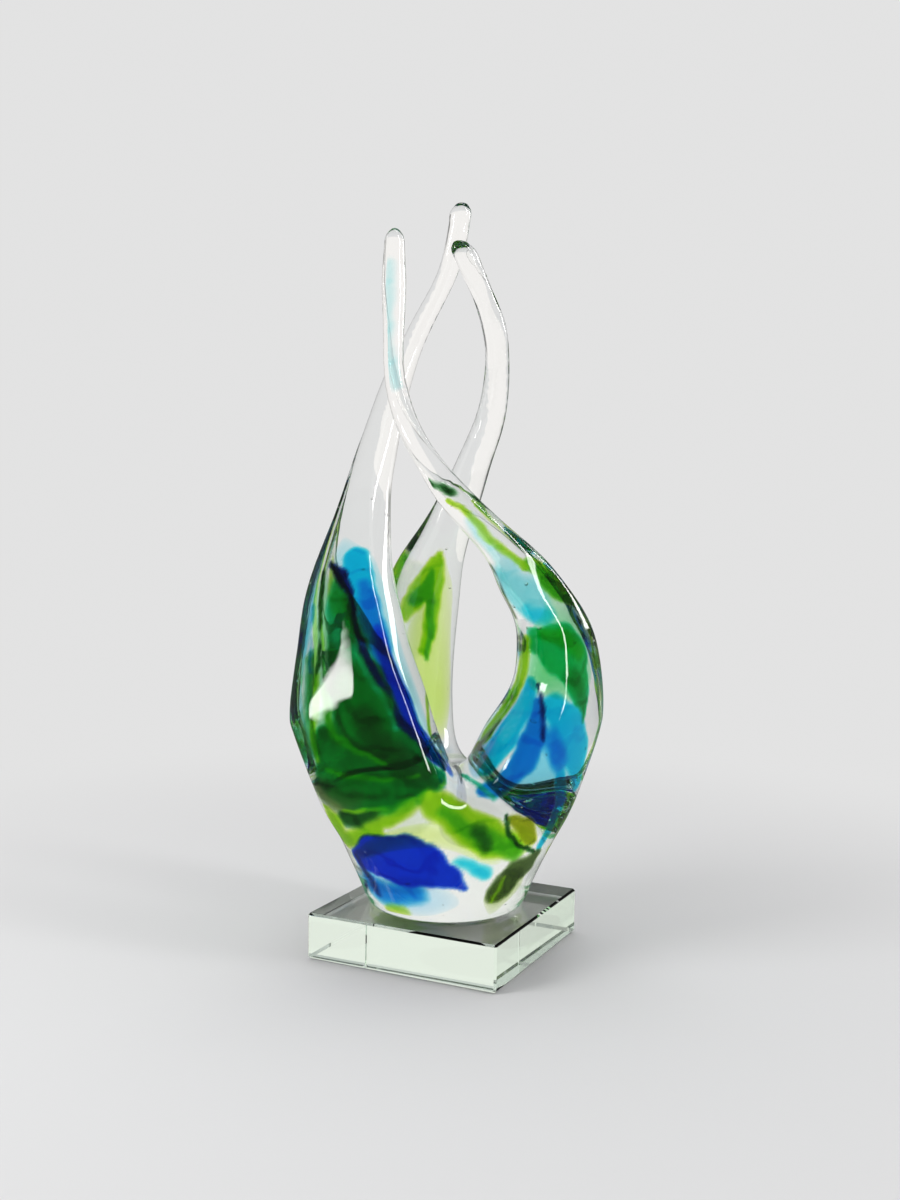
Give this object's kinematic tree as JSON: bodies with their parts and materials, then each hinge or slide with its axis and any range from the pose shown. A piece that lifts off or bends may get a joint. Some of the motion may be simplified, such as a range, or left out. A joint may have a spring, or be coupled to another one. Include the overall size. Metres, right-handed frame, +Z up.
{
  "type": "glass wave sculpture",
  "caption": "Free-standing hot-worked glass sculpture: three clear tapering arms with green and blue streaks twist up from a rounded bowl on a square crystal base.",
  "frame": {"origin": "centre of the square base's underside, on the surface that the sculpture stands on", "axes": "+Z up, X and Y along the sides of the square base, with -Y the side nearest the viewer, who stands 26 degrees towards +X of it"},
  "size_m": [0.1147, 0.0988, 0.294],
  "materials": {
    "clear_glass": "clear hot-worked glass, fire polished, smooth",
    "crystal": "clear cut and polished crystal with a faint green tint",
    "adhesive": "thin film of clear cured adhesive",
    "emerald_glass": "transparent emerald green glass",
    "lime_glass": "transparent yellow-green glass",
    "olive_glass": "transparent dark olive glass",
    "cobalt_glass": "transparent deep cobalt blue glass",
    "azure_glass": "transparent bright azure glass",
    "aqua_glass": "transparent pale blue-green glass"
  },
  "bodies": {
    "root": {"clear_glass_body": "clear_glass", "left_emerald_streak": "emerald_glass", "left_blue_streak": "cobalt_glass", "left_aqua_streak": "aqua_glass", "back_lime_streak": "lime_glass", "right_azure_streak": "azure_glass", "right_inner_blue_streak": "cobalt_glass", "right_emerald_streak": "emerald_glass", "right_aqua_streak": "aqua_glass", "foot_cobalt_streak": "cobalt_glass", "foot_olive_streak": "olive_glass", "bowl_lime_drop": "lime_glass", "bowl_lime_belt": "lime_glass", "crystal_base": "crystal", "adhesive_film": "adhesive"}
  },
  "joints": []
}
